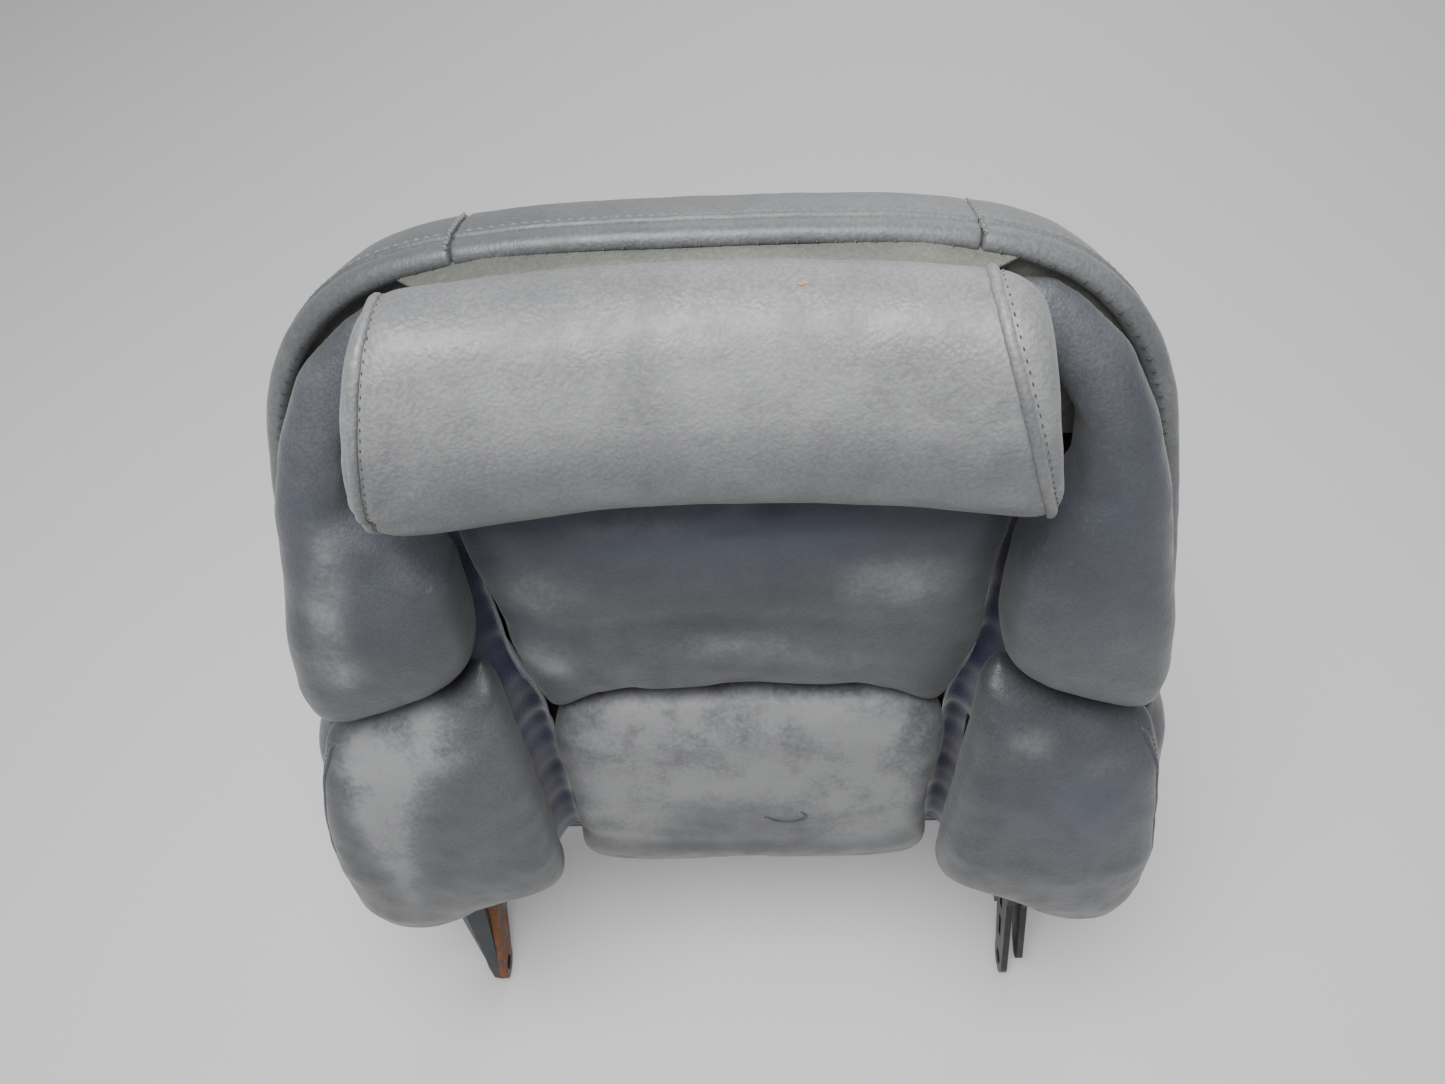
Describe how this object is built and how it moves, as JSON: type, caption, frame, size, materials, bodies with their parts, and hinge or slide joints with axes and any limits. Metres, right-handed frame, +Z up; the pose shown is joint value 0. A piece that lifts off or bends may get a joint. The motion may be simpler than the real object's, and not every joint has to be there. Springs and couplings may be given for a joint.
{
  "type": "sports seat backrest with headrest",
  "caption": "Leather-covered sports seat backrest on steel hinge arms, with a tilting headrest roll, swinging side bolsters and a sliding lumbar cushion.",
  "frame": {"origin": "on the recliner's hinge line, midway between the two hinge arms", "axes": "+Z up, -Y out of the seat's front towards the sitter, +X to the right seen from the front"},
  "size_m": [0.5438, 0.1837, 0.705],
  "materials": {
    "leather": "worn grained leather, satin",
    "dark_leather": "grained leather, satin",
    "gusset_cloth": "brushed cloth, matte",
    "black_steel": "black paint, semi-matte",
    "rusty_steel": "black paint with surface rust",
    "zinc_steel": "zinc plate, satin",
    "spring_steel": "drawn wire",
    "black_plastic": "grained, matte",
    "shell_plastic": "grained, matte"
  },
  "bodies": {
    "back_frame": {"frame_hoop": "black_steel", "right_side_plate": "black_steel", "left_side_plate": "black_steel", "lower_cross_member": "black_steel", "left_hinge_arm": "rusty_steel", "right_hinge_arm": "black_steel", "right_guide_plate": "black_steel", "left_arm_cover": "black_plastic", "right_arm_bolt_lower": "zinc_steel", "left_arm_bolt_lower": "zinc_steel", "right_arm_spacer_lower": "zinc_steel", "left_arm_spacer_lower": "zinc_steel", "right_arm_bolt_upper": "zinc_steel", "left_arm_bolt_upper": "zinc_steel", "right_arm_spacer_upper": "zinc_steel", "left_arm_spacer_upper": "zinc_steel", "suspension_mat": "spring_steel", "right_mat_spring_1": "spring_steel", "left_mat_spring_1": "spring_steel", "right_mat_spring_2": "spring_steel", "left_mat_spring_2": "spring_steel", "rear_shell": "shell_plastic", "right_shell_screw_lower": "zinc_steel", "left_shell_screw_lower": "zinc_steel", "right_shell_screw_upper": "zinc_steel", "left_shell_screw_upper": "zinc_steel", "left_rim_strip": "leather", "top_rim_strip": "leather", "right_rim_strip": "leather", "rim_piping": "leather", "front_lining": "leather", "upper_cross_member": "black_steel", "headrest_bracket": "black_steel", "right_tilt_pin": "zinc_steel", "left_tilt_pin": "zinc_steel", "right_tilt_washer": "black_plastic", "left_tilt_washer": "black_plastic", "left_wing_pad": "leather", "right_wing_pad": "leather", "upper_insert_pad": "leather", "lumbar_carrier": "black_plastic", "right_bolster_pin": "zinc_steel", "left_bolster_pin": "zinc_steel", "right_bolster_bracket_lower": "black_steel", "left_bolster_bracket_lower": "black_steel", "right_bolster_bracket_upper": "black_steel", "left_bolster_bracket_upper": "black_steel", "left_gusset": "gusset_cloth", "right_gusset": "gusset_cloth"},
    "headrest": {"headrest_core": "black_steel", "headrest_pad": "leather"},
    "lumbar_support": {"lumbar_pad": "leather", "lumbar_plate": "black_plastic"},
    "left_bolster": {"left_bolster_pad": "leather", "left_bolster_plate": "black_steel", "left_bolster_side_panel": "dark_leather"},
    "right_bolster": {"right_bolster_pad": "leather", "right_bolster_plate": "black_steel", "right_bolster_side_panel": "dark_leather"}
  },
  "joints": [
    {"name": "headrest_tilt", "type": "hinge", "parent": "back_frame", "child": "headrest", "pos_m": [0, 0.12073, 0.58329], "axis": [1, 0, 0], "range_deg": [0, 18]},
    {"name": "lumbar_slide", "type": "slide", "parent": "back_frame", "child": "lumbar_support", "axis": [0, -0.9877, 0.1564], "range_m": [0, 0.012]},
    {"name": "right_bolster_swing", "type": "hinge", "parent": "back_frame", "child": "right_bolster", "pos_m": [0.146, 0.05128, 0.26626], "axis": [0, -0.1564, -0.9877], "range_deg": [0, 7]},
    {"name": "left_bolster_swing", "type": "hinge", "parent": "back_frame", "child": "left_bolster", "pos_m": [-0.146, 0.05128, 0.26626], "axis": [0, 0.1564, 0.9877], "range_deg": [0, 7]}
  ],
  "couplings": [
    {"joint": "left_bolster_swing", "follows": "right_bolster_swing", "ratio": 1}
  ]
}
